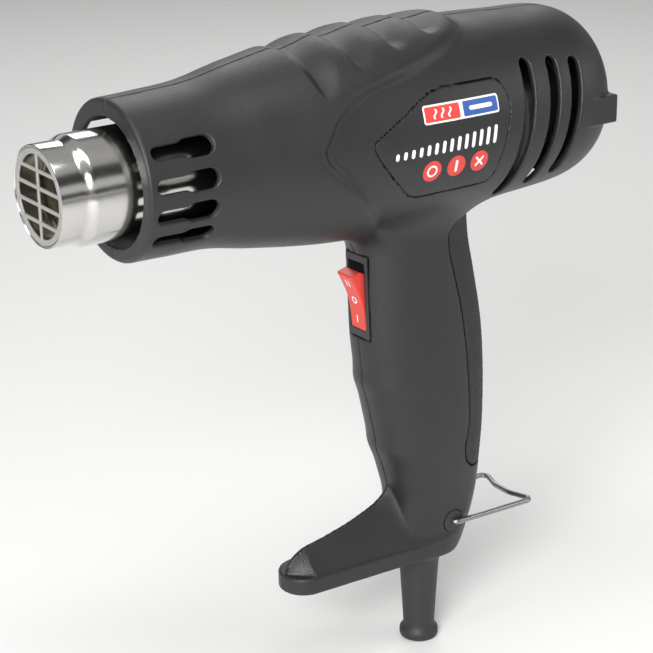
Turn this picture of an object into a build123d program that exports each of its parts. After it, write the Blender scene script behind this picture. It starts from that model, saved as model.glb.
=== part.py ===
from build123d import *
import math
import os

# Hot air gun. Millimetres. X runs rearward along the barrel axis from the nozzle mouth,
# Z is up and the origin is the centre of the mouth. The housing parts on the plane Y = 0.

# Barrel of the housing: stations (x, half width, half height, centre height)
BARREL = [
    (27, 27.8, 27.8, 0.2),
    (42, 28.4, 28.4, 0.4),
    (58, 29.6, 30.0, 0.8),
    (90, 35.0, 36.0, 1.2),
    (120, 38.6, 38.8, 1.6),
    (150, 39.4, 39.4, 2.2),
    (180, 38.6, 37.0, 2.8),
    (204, 37.2, 35.4, 3.0),
]
REAR_START = 204
REAR_END = 235
REAR_FULLNESS = 3.4
REAR_SMALLEST = 0.45
REAR_LIFT = 7
WALL = 2.6
COLLAR_LIP_X = 29.4
COLLAR_LIP_R = 22.9

# Handle: stations (z, front x, rear x, half width)
HANDLE = [
    (-8, 116, 192, 31.0),
    (-24, 124, 186, 26.0),
    (-34, 128, 180.5, 19.5),
    (-46, 129.6, 179.6, 17.2),
    (-60, 130.2, 182.4, 17.2),
    (-84, 131.2, 187.0, 17.6),
    (-112, 136.0, 188.2, 17.8),
    (-134, 142.2, 187.4, 17.0),
    (-148, 145.6, 186.2, 15.4),
    (-158, 143.0, 183.2, 13.8),
    (-173, 140.0, 178.5, 13.2),
]
HANDLE_SQUARENESS = 2.5

# Foot of the handle with its forward toe: plan stations (x, half width) and ridge heights
BASE_Z = -178.6
SKIRT_HEIGHT = 7
SKIRT_PLAN = [(101, 9.6), (118, 11.8), (140, 13.4), (160, 13.6), (172, 10.5)]
TOE_TIP_X = 93.5
HEEL_X = 177
TOE_RIDGE = [(96.5, 5.5, 6.5), (104, 9.0, 9.6), (114, 11.4, 11.2), (130, 15.8, 12.6), (146, 27.0, 13.0)]

# Nozzle, heater and air path
TUBE_FRONT_R = 17.8
TUBE_REAR_R = 19.4
TUBE_WALL = 0.9
SPIGOT_LENGTH = 8.4
SHOULDER_LENGTH = 4.6
TUBE_END = 112
TUBE_FLANGE_R = 24
GRILLE_R = 16.7
GRILLE_THICKNESS = 0.8
GRILLE_OPENING_R = 14.6
GRILLE_BAR = 1.35
GRILLE_PITCH = 6.1
SLEEVE_R = 18.2
SLEEVE_WALL = 0.5
HEATER_START = 18
HEATER_END = 106
FORMER_R = 16.6
FORMER_SHEET = 1.0
COIL_RADII = (7.2, 12.4)
COIL_WIRE_R = 0.6
COIL_PITCH = 5.5
DUCT_FRONT_X = 115.4
DUCT_REAR_X = 185.4
DUCT_THROAT_R = 26
DUCT_CUP_R = 31
DUCT_WALL = 1.4

# Motor and fan on the barrel axis
MOUNT_X = 185.8
MOUNT_THICKNESS = 2.4
MOTOR_X = 188.4
MOTOR_LENGTH = 28
MOTOR_R = 18
SHAFT_R = 1.6
SHAFT_FRONT = 164
SHAFT_REAR = 223
IMPELLER_X = 168
IMPELLER_DEPTH = 13
IMPELLER_R = 28.4
BLADES = 9

# Collar cooling slots and rear intake slots
COLLAR_SLOT_ANGLES = (31, 8, -14, -35)
COLLAR_SLOT_START = 31
COLLAR_SLOT_END = 53
COLLAR_SLOT_NARROW = 2.3
COLLAR_SLOT_WIDE = 3.2
INTAKE_SLOTS = [(181.5, 26, -26), (194.5, 25, -23.5), (205.5, 23.5, -21)]
INTAKE_SLOT_WIDTH = 5
INTAKE_SLOPE = 0.16
SLOT_INNER_Y = 15

# Rear bar
BAR_FRONT_X = 212
BAR_REAR_X = 228.4
BAR_TOP_Z = 7
BAR_BOTTOM_Z = -3.8
BAR_HALF_WIDTH = 36

# Switch
SWITCH_X = 130.6
SWITCH_Z = -63.3
SWITCH_TILT = -2.4
BEZEL_WIDTH = 13
BEZEL_HEIGHT = 34
BEZEL_THICKNESS = 1.6
SWITCH_DEPTH = 20
SWITCH_BODY_WIDTH = 11.6
SWITCH_BODY_HEIGHT = 31
SWITCH_BAY_WIDTH = 9.8
SWITCH_BAY_HEIGHT = 27.4
SWITCH_BAY_DEPTH = 12
ROCKER_WIDTH = 9
ROCKER_HALF_HEIGHT = 12.2
ROCKER_PROUD = 3.2
ROCKER_DIP = 1.8
ROCKER_PIVOT_DEPTH = 5
ROCKER_PIN_R = 1.2
ROCKER_TILT = 14

# Bail, pivots and strain relief
BAIL_X = 167.9
BAIL_Z = -164.6
BAIL_LENGTH = 41
BAIL_HALF_WIDTH = 15.2
BAIL_WIRE_R = 1.1
BAIL_BOW = 4
BAIL_BEND_R = 2.4
BAIL_REST_ANGLE = 2
BUSH_R = 4.6
BUSH_FACE_Y = 13.9
BUSH_INNER_Y = 9.5
BOOT_X = 160.9
BOOT_END_Z = -220
BOOT_TOP_R = 8.1
BOOT_BOTTOM_R = 6.4
BOOT_BEAD_R = 8
BOOT_FLANGE_R = 10.8
BOOT_COLLAR_R = 9.4
BOOT_BORE_R = 3.6

# Screws that close the housing, (x, z), with their heads on the +Y side
SCREWS = [(80, 28), (80, -26), (152, 35), (212, 26), (210, -24.5), (158, -100), (124, -174)]
BOSS_R = 4.2
SCREW_HOLE_R = 1.5
SCREW_R = 1.4
SCREW_HEAD_R = 2.9
SCREW_HEAD_HEIGHT = 2.2
SCREW_SEAT_Y = 5
SCREW_TIP_Y = -5

# Label plates let into the sides of the barrel
LABEL_OUTLINE = [(112.3, 6), (140, 21.5), (170, 21.5), (173.8, 13), (167, -16.6), (131, -17), (116, -1.5)]
LABEL_DEPTH = 0.6
LABEL_REACH = 50
GRIP_DEPTH = 1.6

# Play between close parts
FIT = 0.05


def save(name, shape):
    export_step(shape, f"parts/{name}.step")


def x_cylinder(x, length, radius, y=0, z=0):
    return Pos(x + length / 2, y, z) * Rot(0, 90, 0) * Cylinder(radius, length)


def y_cylinder(x, z, radius, y_from, y_to):
    return Pos(x, (y_from + y_to) / 2, z) * Rot(90, 0, 0) * Cylinder(radius, abs(y_to - y_from))


def z_cylinder(x, y, z_from, z_to, radius):
    return Pos(x, y, (z_from + z_to) / 2) * Cylinder(radius, abs(z_to - z_from))


def block(x_from, x_to, y_from, y_to, z_from, z_to):
    centre = Pos((x_from + x_to) / 2, (y_from + y_to) / 2, (z_from + z_to) / 2)
    return centre * Box(x_to - x_from, y_to - y_from, z_to - z_from)


def turned(points):
    """A solid turned about the X axis from (x, radius) corners."""
    face = make_face(Plane.XZ * Polyline(*points, close=True))
    return revolve(face, Axis.X)


def superellipse(half_a, half_b, power, count=24):
    """Points of a rounded outline, evenly spaced in angle."""
    points = []
    for i in range(count):
        angle = 2 * math.pi * i / count
        c, s = math.cos(angle), math.sin(angle)
        points.append((
            half_a * math.copysign(abs(c) ** (2 / power), c),
            half_b * math.copysign(abs(s) ** (2 / power), s),
        ))
    return points


def rounded_section(plane, half_a, half_b, power):
    outline = Spline(*superellipse(half_a, half_b, power), periodic=True)
    return plane * make_face(outline)


# Housing -----------------------------------------------------------------------------------

def barrel_stations():
    """The barrel's stations with the rounded rear end worked out from its fullness."""
    _, width, height, centre = BARREL[-1]
    stations = list(BARREL)
    for part in (0.4, 0.65, 0.82, 0.93, 0.98):
        scale = (1 - part ** REAR_FULLNESS) ** (1 / REAR_FULLNESS)
        x = REAR_START + part * (REAR_END - REAR_START)
        stations.append((x, width * scale, height * scale, centre + REAR_LIFT * (1 - scale)))
    stations.append((REAR_END, width * REAR_SMALLEST, height * REAR_SMALLEST, centre + REAR_LIFT / 2))
    return stations


def barrel_solid(inset):
    """The barrel, its skin moved inward by the inset."""
    faces = []
    end = REAR_END - inset
    for x, width, height, centre in barrel_stations():
        near_end = x > REAR_START and end - 1 < x < REAR_END
        if not near_end:
            place = min(x, end)
            plane = Plane(origin=(place, 0, centre), x_dir=(0, 1, 0), z_dir=(1, 0, 0))
            faces.append(rounded_section(plane, width - inset, height - inset, 2))
    return loft(faces)


def handle_solid(inset):
    """The handle grip from inside the barrel down to the foot."""
    faces = []
    for z, front, rear, width in HANDLE:
        plane = Plane(origin=((front + rear) / 2, 0, z), x_dir=(1, 0, 0), z_dir=(0, 0, 1))
        faces.append(rounded_section(plane, (rear - front) / 2 - inset, width - inset, HANDLE_SQUARENESS))
    return loft(faces)


def skirt_solid(inset):
    """The flat foot, with its pointed toe, that the handle stands on."""
    side = [(x, width - inset) for x, width in SKIRT_PLAN]
    near = [(x, -y) for x, y in reversed(side)]
    outline = Spline((TOE_TIP_X + inset, 0), *side, (HEEL_X - inset, 0), *near, periodic=True)
    face = Pos(0, 0, BASE_Z + inset) * make_face(outline)
    return extrude(face, SKIRT_HEIGHT - 2 * inset)


def toe_solid(inset):
    """The ridged upper side of the toe, rising into the handle."""
    faces = []
    floor = BASE_Z + SKIRT_HEIGHT - 0.2
    for x, rise, width in TOE_RIDGE:
        top = max(rise - inset, 0.3)
        half = width - inset
        corners = [(-half, 0), (-half * 0.55, top * 0.4), (0, top), (half * 0.55, top * 0.4), (half, 0)]
        plane = Plane(origin=(x, 0, floor), x_dir=(0, 1, 0), z_dir=(1, 0, 0))
        faces.append(plane * make_face(Polyline(*corners, close=True)))
    return loft(faces, ruled=True)


def rear_bar():
    """The bar moulded across the rear body, standing out of its rounded end at both sides."""
    return block(BAR_FRONT_X, BAR_REAR_X, -BAR_HALF_WIDTH, BAR_HALF_WIDTH, BAR_BOTTOM_Z, BAR_TOP_Z)


def housing_outside():
    return barrel_solid(0) + handle_solid(0) + skirt_solid(0) + toe_solid(0) + rear_bar()


def housing_inside():
    """The hollow, with a lip left round the collar's mouth."""
    barrel = barrel_solid(WALL) - block(0, COLLAR_LIP_X, -50, 50, -50, 50)
    mouth = x_cylinder(0, COLLAR_LIP_X + 4, COLLAR_LIP_R)
    return barrel + handle_solid(WALL) + skirt_solid(WALL) + mouth


def collar_slots():
    """Keyhole slots round both sides of the collar, narrow in front and wide behind."""
    cutters = []
    middle = COLLAR_SLOT_START + 0.42 * (COLLAR_SLOT_END - COLLAR_SLOT_START)
    for angle in COLLAR_SLOT_ANGLES:
        for side in (-1, 1):
            slot = block(COLLAR_SLOT_START, middle + 2, 20, 40, -COLLAR_SLOT_NARROW, COLLAR_SLOT_NARROW)
            slot += y_cylinder(COLLAR_SLOT_START, 0, COLLAR_SLOT_NARROW, 20, 40)
            wide_end = COLLAR_SLOT_END - COLLAR_SLOT_WIDE
            slot += block(middle, wide_end, 20, 40, -COLLAR_SLOT_WIDE, COLLAR_SLOT_WIDE)
            slot += y_cylinder(wide_end, 0, COLLAR_SLOT_WIDE, 20, 40)
            turn = angle if side > 0 else 180 - angle
            cutters.append(Rot(turn, 0, 0) * slot)
    return cutters


def intake_slots():
    """Leaning rounded slots through both sides of the rear body."""
    cutters = []
    lean = math.degrees(math.atan(INTAKE_SLOPE))
    half = INTAKE_SLOT_WIDTH / 2
    for x, top, bottom in INTAKE_SLOTS:
        for side in (-1, 1):
            y_from, y_to = sorted((side * SLOT_INNER_Y, side * 50))
            slot = block(-half, half, y_from, y_to, bottom + half, top - half)
            slot += y_cylinder(0, top - half, half, y_from, y_to)
            slot += y_cylinder(0, bottom + half, half, y_from, y_to)
            cutters.append(Pos(x, 0, 0) * Rot(0, lean, 0) * slot)
    return cutters


def label_region(side):
    """The column, along Y, that a label plate fills on one side."""
    face = make_face(Polyline(*LABEL_OUTLINE, close=True))
    prism = extrude(Plane.XZ * face, LABEL_REACH, both=True)
    rounded = fillet(prism.edges().filter_by(Axis.Y), 3)
    return rounded & block(100, 180, min(0, side * 60), max(0, side * 60), -30, 30)


def label_plate(side):
    """A thin plate following the barrel's skin."""
    skin = barrel_solid(0) - barrel_solid(LABEL_DEPTH)
    return skin & label_region(side)


def grip_region():
    """The side view of the rubber grip on the back of the handle."""
    edge = Spline((179, -28), (166.5, -34.2), (162.3, -41), (164.6, -56), (170.6, -85),
                  (173.4, -119), (172.4, -135), (177.2, -142.2))
    outline = edge + Polyline((177.2, -142.2), (200, -142.2), (200, -28), (179, -28))
    return extrude(Plane.XZ * make_face(outline), 40, both=True)



def soft_grip():
    return ((handle_solid(0) - grip_core(0)) & grip_region()) - barrel_solid(0)


def grip_core(gap):
    """What stays of the handle under the rubber grip."""
    return handle_solid(GRIP_DEPTH + gap)


def switch_place():
    return Pos(SWITCH_X, 0, SWITCH_Z) * Rot(0, SWITCH_TILT, 0)


def switch_cut():
    """The opening for the switch body and the flat that its bezel sits on."""
    hole = block(-12, SWITCH_DEPTH + 2, -SWITCH_BODY_WIDTH / 2 - 0.1, SWITCH_BODY_WIDTH / 2 + 0.1,
                 -SWITCH_BODY_HEIGHT / 2 - 0.1, SWITCH_BODY_HEIGHT / 2 + 0.1)
    flat = block(-14, BEZEL_THICKNESS, -BEZEL_WIDTH / 2 - 0.1, BEZEL_WIDTH / 2 + 0.1,
                 -BEZEL_HEIGHT / 2 - 0.1, BEZEL_HEIGHT / 2 + 0.1)
    return switch_place() * (hole + flat)


def ribs():
    """Walls across the barrel that carry the tube, the clamp ring and the motor mount."""
    front = x_cylinder(57, 2, 40) - x_cylinder(56, 4, TUBE_REAR_R + 0.1)
    for angle in (0, 60, 120):
        front -= Rot(angle + 30, 0, 0) * block(56, 60, -27, 27, -5, 5)
    clamp_front = x_cylinder(103, 2, 50) - x_cylinder(102, 4, 30)
    clamp_rear = x_cylinder(116.2, 2, 50) - x_cylinder(115, 4, 28.5)
    mount_rear = x_cylinder(MOUNT_X + MOUNT_THICKNESS + 0.1, 1.8, 50) - x_cylinder(187, 6, 28)
    rear = x_cylinder(219.7, 1.6, 50) - x_cylinder(219, 4, 6.6)
    for z in (-9, 9):
        rear -= block(219, 223, -40, 40, z + (3 if z > 0 else -30), z + (30 if z > 0 else -3))
    return [front, clamp_front, clamp_rear, mount_rear, rear]


def boot_pocket():
    """The hole in the foot that grips the strain relief's neck, with room above for its collar."""
    neck = z_cylinder(BOOT_X, 0, BASE_Z - 8, BASE_Z + 8, BOOT_TOP_R + FIT)
    return neck + z_cylinder(BOOT_X, 0, BASE_Z + WALL, BASE_Z + 8, BOOT_COLLAR_R + 2 * FIT)


def bush_pockets():
    pockets = []
    for side in (-1, 1):
        y_from, y_to = sorted((side * BUSH_INNER_Y, side * 30))
        pockets.append(y_cylinder(BAIL_X, BAIL_Z, BUSH_R + 0.05, y_from, y_to))
    return pockets


def bush_seats():
    """Solid lands in the handle wall round the bail's bushes."""
    seats = []
    for side in (-1, 1):
        y_from, y_to = sorted((side * (BUSH_INNER_Y - 1.6), side * 16))
        seats.append(y_cylinder(BAIL_X, BAIL_Z, BUSH_R + 2.2, y_from, y_to))
    return seats


def side_space(side):
    """Everything on one side of the parting plane."""
    return block(-20, 280, min(0, side * 60), max(0, side * 60), -240, 60)


def housing_body():
    """Both halves in one: skin, ribs, bosses, bush seats and every opening."""
    outside = housing_outside()
    supports = ribs() + bush_seats() + [y_cylinder(x, z, BOSS_R, -60, 60) for x, z in SCREWS]
    inner_walls = supports[0].fuse(*supports[1:]) & outside
    shell = outside.cut(housing_inside()).fuse(inner_walls)
    label_beds = [label_region(side) - barrel_solid(LABEL_DEPTH + FIT) for side in (-1, 1)]
    grip_bed = (grip_region() - barrel_solid(0)) - grip_core(FIT)
    cutters = collar_slots() + intake_slots() + bush_pockets() + label_beds
    cutters += [grip_bed, switch_cut(), boot_pocket()]
    return shell.cut(*cutters)


def housing_shell(side, body):
    """One half of the housing with its screw holes."""
    cutters = []
    for x, z in SCREWS:
        if side > 0:
            cutters.append(y_cylinder(x, z, SCREW_HOLE_R, -1, SCREW_SEAT_Y))
            cutters.append(y_cylinder(x, z, SCREW_HEAD_R + 0.1, SCREW_SEAT_Y, 60))
        else:
            cutters.append(y_cylinder(x, z, SCREW_HOLE_R, SCREW_TIP_Y - 1, 1))
    return (body & side_space(side)).cut(*cutters)


def housing_screws():
    screws = []
    for x, z in SCREWS:
        shank = y_cylinder(x, z, SCREW_R, SCREW_TIP_Y, SCREW_SEAT_Y)
        head = y_cylinder(x, z, SCREW_HEAD_R, SCREW_SEAT_Y, SCREW_SEAT_Y + SCREW_HEAD_HEIGHT)
        drive = block(x - 1.6, x + 1.6, SCREW_SEAT_Y + 1, SCREW_SEAT_Y + 4, z - 0.3, z + 0.3)
        drive += block(x - 0.3, x + 0.3, SCREW_SEAT_Y + 1, SCREW_SEAT_Y + 4, z - 1.6, z + 1.6)
        screws.append(shank + head - drive)
    return Compound(children=screws)


# Nozzle and heater -------------------------------------------------------------------------

def tube_profile(radius_offset):
    """Corners of the stepped tube's outline, moved inward by the offset."""
    shoulder = SPIGOT_LENGTH + SHOULDER_LENGTH
    return [(0.5, TUBE_FRONT_R - radius_offset), (SPIGOT_LENGTH, TUBE_FRONT_R - radius_offset),
            (shoulder, TUBE_REAR_R - radius_offset), (TUBE_END, TUBE_REAR_R - radius_offset)]


def nozzle_tube():
    outer = [(0, TUBE_FRONT_R - 0.5)] + tube_profile(0)
    flange = [(TUBE_END - 1.2, TUBE_REAR_R), (TUBE_END - 1.2, TUBE_FLANGE_R), (TUBE_END, TUBE_FLANGE_R)]
    inner = list(reversed(tube_profile(TUBE_WALL)))
    mouth = [(0, TUBE_FRONT_R - TUBE_WALL)]
    return turned(outer[:-1] + flange + inner + mouth)


def nozzle_grille():
    """Stamped guard: a rim, one upright bar and four cross bars."""
    disc = x_cylinder(0.2, GRILLE_THICKNESS, GRILLE_R)
    opening = x_cylinder(0, 2, GRILLE_OPENING_R)
    opening -= block(-1, 3, -GRILLE_BAR / 2, GRILLE_BAR / 2, -20, 20)
    for row in (-1.5, -0.5, 0.5, 1.5):
        z = row * GRILLE_PITCH
        opening -= block(-1, 3, -20, 20, z - GRILLE_BAR / 2, z + GRILLE_BAR / 2)
    return disc - opening


def mica_sleeve():
    length = HEATER_END - HEATER_START + 2
    outer = x_cylinder(HEATER_START - 1, length, SLEEVE_R)
    return outer - x_cylinder(HEATER_START - 2, length + 2, SLEEVE_R - SLEEVE_WALL)


def heater_former():
    """Crossed mica plates notched for the windings."""
    length = HEATER_END - HEATER_START
    half = FORMER_SHEET / 2
    cross = block(HEATER_START, HEATER_END, -FORMER_R, FORMER_R, -half, half)
    cross += block(HEATER_START, HEATER_END, -half, half, -FORMER_R, FORMER_R)
    for radius in COIL_RADII:
        ring = x_cylinder(HEATER_START + 4, length - 8, radius + 1)
        cross -= ring - x_cylinder(HEATER_START + 3, length - 6, radius - 1)
    return cross + former_bridges()


def former_bridges():
    """What is left of the plates between the winding channels."""
    bridges = None
    half = FORMER_SHEET / 2
    for index in range(8):
        x = HEATER_START + 8 + index * 10
        bar = block(x, x + 2, -FORMER_R, FORMER_R, -half, half)
        bar += block(x, x + 2, -half, half, -FORMER_R, FORMER_R)
        bridges = bar if bridges is None else bridges + bar
    return bridges


def heater_coils():
    """Resistance windings, drawn as rings between the former's bridges."""
    rings = []
    for radius in COIL_RADII:
        for index in range(8):
            for step in (4.2, 7.0):
                x = HEATER_START + 8 + index * 10 - step + 2
                if x < HEATER_START + 5:
                    continue
                rings.append(Pos(x, 0, 0) * Rot(0, 90, 0) * Torus(radius, COIL_WIRE_R))
    return Compound(children=rings)


def tube_clamp_ring():
    """Phenolic ring that holds the tube's flange in the housing."""
    ring = x_cylinder(105.2, 10, 33.1)
    ring -= x_cylinder(104, 12, TUBE_REAR_R + 0.1)
    ring -= x_cylinder(TUBE_END - 1.3, 8, TUBE_FLANGE_R + 0.1)
    return ring


def thermal_cutout():
    """Bimetal cut-out on a bracket behind the heater."""
    base = block(107, 108, -7, 7, 2, 15)
    base -= x_cylinder(106.5, 2, 1.6, y=-4.5, z=4.5)
    body = x_cylinder(108, 5, 4.5, z=9.5)
    tabs = block(113, 119, -3.6, -2.8, 7, 12) + block(113, 119, 2.8, 3.6, 7, 12)
    return base + body + tabs


def air_duct():
    """Funnel from the fan to the heater with the cup round the fan."""
    outer = [(DUCT_FRONT_X, DUCT_THROAT_R), (124, DUCT_THROAT_R), (156, DUCT_CUP_R), (DUCT_REAR_X, DUCT_CUP_R)]
    inner = [(x, r - DUCT_WALL) for x, r in reversed(outer)]
    return turned(outer + inner)


# Motor and fan -----------------------------------------------------------------------------

def motor_mount():
    """Spoked plate between the fan and the motor."""
    plate = x_cylinder(MOUNT_X, MOUNT_THICKNESS, DUCT_CUP_R)
    plate -= x_cylinder(MOUNT_X - 1, 6, 6)
    for angle in (30, 90, 150, 210, 270, 330):
        window = x_cylinder(MOUNT_X - 1, 6, 27) - x_cylinder(MOUNT_X - 1, 6, 15)
        window &= Rot(angle, 0, 0) * block(MOUNT_X - 1, MOUNT_X + 5, -6.5, 6.5, 0, 40)
        plate -= window
    for angle in (0, 180):
        plate -= Rot(angle, 0, 0) * x_cylinder(MOUNT_X - 1, 6, 1.3, z=10)
    return plate


def motor_screws():
    screws = []
    for angle in (0, 180):
        shank = x_cylinder(MOUNT_X, MOUNT_THICKNESS + 1.4, 1.2, z=10)
        head = x_cylinder(MOUNT_X - 1.8, 1.8, 2.4, z=10)
        screws.append(Rot(angle, 0, 0) * (shank + head))
    return Compound(children=screws)


def motor_can():
    can = x_cylinder(MOTOR_X, MOTOR_LENGTH, MOTOR_R) - x_cylinder(MOTOR_X + 1.6, MOTOR_LENGTH, MOTOR_R - 1.4)
    can -= x_cylinder(MOTOR_X - 1, 4, 4.05)
    for angle in (0, 180):
        can -= Rot(angle, 0, 0) * x_cylinder(MOTOR_X - 1, 4, 1.25, z=10)
    return can


def motor_magnets():
    ring = x_cylinder(MOTOR_X + 5, 19, MOTOR_R - 1.5) - x_cylinder(MOTOR_X + 4, 21, 12.4)
    gap = block(MOTOR_X, MOTOR_X + 30, -30, 30, -4, 4)
    magnets = ring - gap
    return Compound(children=list(magnets.solids()))


def motor_end_cap():
    start = MOTOR_X + MOTOR_LENGTH
    cap = x_cylinder(start + 0.05, 3, MOTOR_R) + x_cylinder(start - 3, 3.1, MOTOR_R - 1.5)
    cap -= x_cylinder(start - 4, 3.6, MOTOR_R - 3)
    cap += x_cylinder(start + 3, 2, 6.5)
    return cap - x_cylinder(start - 4, 12, 4.05)


def bearing(x):
    ring = x_cylinder(x, 2.4, 4)
    return ring - x_cylinder(x - 1, 5, SHAFT_R + FIT)


def brushes():
    start = MOTOR_X + MOTOR_LENGTH - 5.6
    pair = []
    for angle in (0, 180):
        pair.append(Rot(angle, 0, 0) * block(start, start + 3.2, -1.6, 1.6, 5.4, 10))
    return Compound(children=pair)


def motor_shaft():
    return x_cylinder(SHAFT_FRONT, SHAFT_REAR - SHAFT_FRONT, SHAFT_R)


def rotor_core():
    """Laminated armature with five winding slots."""
    start = MOTOR_X + 6
    core = x_cylinder(start, 14, 12) - x_cylinder(start - 1, 16, SHAFT_R)
    for index in range(5):
        slot = block(start - 1, start + 15, -1, 1, 5, 13)
        slot += x_cylinder(start - 1, 16, 2.4, z=7.4)
        core -= Rot(index * 72, 0, 0) * slot
    return core


def rotor_windings():
    """Copper bundles lying in the armature's slots."""
    start = MOTOR_X + 4.4
    bundles = []
    for index in range(5):
        bundles.append(Rot(index * 72, 0, 0) * x_cylinder(start, 17.2, 2.2, z=7.4))
    return Compound(children=bundles)


def commutator():
    start = MOTOR_X + 22
    ring = x_cylinder(start, 4.4, 5.2) - x_cylinder(start - 1, 7, SHAFT_R)
    for index in range(5):
        ring -= Rot(index * 72, 0, 0) * block(start - 1, start + 6, -0.25, 0.25, 4.4, 6)
    return ring


def impeller():
    """Mixed-flow fan: a hub, a back cone and leaning blades."""
    hub = x_cylinder(IMPELLER_X - 1, IMPELLER_DEPTH + 1, 5) + x_cylinder(IMPELLER_X, 1.6, IMPELLER_R)
    for index in range(BLADES):
        blade = block(IMPELLER_X + 1, IMPELLER_X + IMPELLER_DEPTH, -0.6, 0.6, 0, IMPELLER_R - 9)
        turned_blade = Rot(index * 360 / BLADES, 0, 0) * Pos(0, 0, 8.6) * Rot(24, 0, 0) * blade
        hub += turned_blade
    hub &= x_cylinder(IMPELLER_X - 2, IMPELLER_DEPTH + 4, IMPELLER_R)
    return hub - x_cylinder(IMPELLER_X - 4, IMPELLER_DEPTH + 8, SHAFT_R)


# Electrics ---------------------------------------------------------------------------------

def switch_body():
    """Rocker switch body with its bezel, hollow for the rocker."""
    body = block(BEZEL_THICKNESS - 0.1, SWITCH_DEPTH, -SWITCH_BODY_WIDTH / 2, SWITCH_BODY_WIDTH / 2,
                 -SWITCH_BODY_HEIGHT / 2, SWITCH_BODY_HEIGHT / 2)
    bezel = block(0, BEZEL_THICKNESS - 0.05, -BEZEL_WIDTH / 2, BEZEL_WIDTH / 2,
                  -BEZEL_HEIGHT / 2, BEZEL_HEIGHT / 2)
    bezel = fillet(bezel.edges().filter_by(Axis.X), 1)
    bay = block(-2, SWITCH_BAY_DEPTH, -SWITCH_BAY_WIDTH / 2, SWITCH_BAY_WIDTH / 2,
                -SWITCH_BAY_HEIGHT / 2, SWITCH_BAY_HEIGHT / 2)
    pivot = y_cylinder(ROCKER_PIVOT_DEPTH, 0, ROCKER_PIN_R + FIT, -20, 20)
    return switch_place() * (body + bezel - bay - pivot)


def rocker():
    """The rocker key, tilted to its lower position, with its pivot pins."""
    dip = -(ROCKER_PROUD - ROCKER_DIP)
    half = ROCKER_HALF_HEIGHT
    profile = [(dip, 0), (-ROCKER_PROUD, half - 0.6), (-ROCKER_PROUD + 1.2, half), (1.5, half - 0.6),
               (4, 7), (8.2, 3.4), (8.2, -3.4), (4, -7), (1.5, -half + 0.6),
               (-ROCKER_PROUD + 1.2, -half), (-ROCKER_PROUD, -half + 0.6)]
    key = extrude(Plane.XZ * make_face(Polyline(*profile, close=True)), ROCKER_WIDTH / 2, both=True)
    pins = y_cylinder(ROCKER_PIVOT_DEPTH, 0, ROCKER_PIN_R, -SWITCH_BODY_WIDTH / 2 + 0.1,
                      SWITCH_BODY_WIDTH / 2 - 0.1)
    pivot = Pos(ROCKER_PIVOT_DEPTH, 0, 0)
    tilt = pivot * Rot(0, -ROCKER_TILT, 0) * pivot.inverse()
    return switch_place() * tilt * (key + pins)


def switch_terminals():
    tabs = []
    for z in (-10, 0, 10):
        tab = block(SWITCH_DEPTH, SWITCH_DEPTH + 8, -2.4, 2.4, z - 0.4, z + 0.4)
        tabs.append(switch_place() * tab)
    return Compound(children=tabs)


def rectifier_board():
    """Circuit board standing in the upper handle."""
    board = block(160, 161.6, -11, 11, -88, -50)
    for y in (-6, 6):
        for z in (-84, -54):
            board -= x_cylinder(158, 6, 1.2, y=y, z=z)
    return board


def board_parts():
    diodes = []
    for index in range(4):
        z = -60 - index * 6
        diodes.append(Pos(163.1, 0, z) * Rot(90, 0, 0) * Cylinder(1.4, 7))
    return Compound(children=diodes)


def suppression_capacitor():
    box = block(143.5, 156.5, -8, 8, -128, -112)
    return fillet(box.edges().filter_by(Axis.Y), 1.5)


def terminal_block():
    body = block(150, 168, -7, 7, -142, -133)
    for y in (-3.4, 3.4):
        body -= z_cylinder(156, y, -150, -130, 1.8)
        body -= x_cylinder(149, 5, 1.3, y=y, z=-137.5)
    return body


def cord_clamp():
    """Bridge that presses the cord down above the strain relief."""
    bar = block(156.5, 165.5, -10.5, 10.5, -156, -152)
    bar -= z_cylinder(BOOT_X, 0, -158, -150, BOOT_BORE_R)
    for y in (-7.6, 7.6):
        bar -= z_cylinder(BOOT_X, y, -158, -150, 1.45)
    return bar


def clamp_screws():
    screws = []
    for y in (-7.6, 7.6):
        screws.append(z_cylinder(BOOT_X, y, -161, -152, 1.3) + z_cylinder(BOOT_X, y, -152, -150.2, 2.4))
    return Compound(children=screws)


def cord_boot():
    """Rubber strain relief: inner collar, neck, flange, tapered sleeve and end bead."""
    floor = BASE_Z + WALL
    outline = [
        (BOOT_BORE_R, floor + 3.2), (BOOT_COLLAR_R, floor + 3.2), (BOOT_COLLAR_R, floor + 0.05),
        (BOOT_TOP_R, floor + 0.05), (BOOT_TOP_R, BASE_Z - 0.05), (BOOT_FLANGE_R, BASE_Z - 0.05),
        (BOOT_FLANGE_R, BASE_Z - 2.2), (BOOT_TOP_R + 0.6, BASE_Z - 4.4), (BOOT_TOP_R, BASE_Z - 8),
        (BOOT_BOTTOM_R, BOOT_END_Z + 5), (BOOT_BEAD_R, BOOT_END_Z + 3.4), (BOOT_BEAD_R, BOOT_END_Z + 0.8),
        (BOOT_BEAD_R - 0.8, BOOT_END_Z), (BOOT_BORE_R, BOOT_END_Z),
    ]
    face = make_face(Plane.XZ * Polyline(*outline, close=True))
    return Pos(BOOT_X, 0, 0) * revolve(face, Axis.Z)


def lead(points):
    """One insulated wire along straight runs joined by arcs."""
    path = FilletPolyline(*points, radius=20)
    start = Plane(origin=path @ 0, z_dir=path % 0)
    return sweep(start * Circle(0.9), path)


def internal_leads():
    routes = [
        [(166, -4, -132.6), (168.6, -4, -112), (168, -4.6, -42)],
        [(166, 4, -132.6), (169, 4.4, -110), (168, 3.6, -40)],
    ]
    return Compound(children=[lead(route) for route in routes])


# Bail --------------------------------------------------------------------------------------

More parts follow.
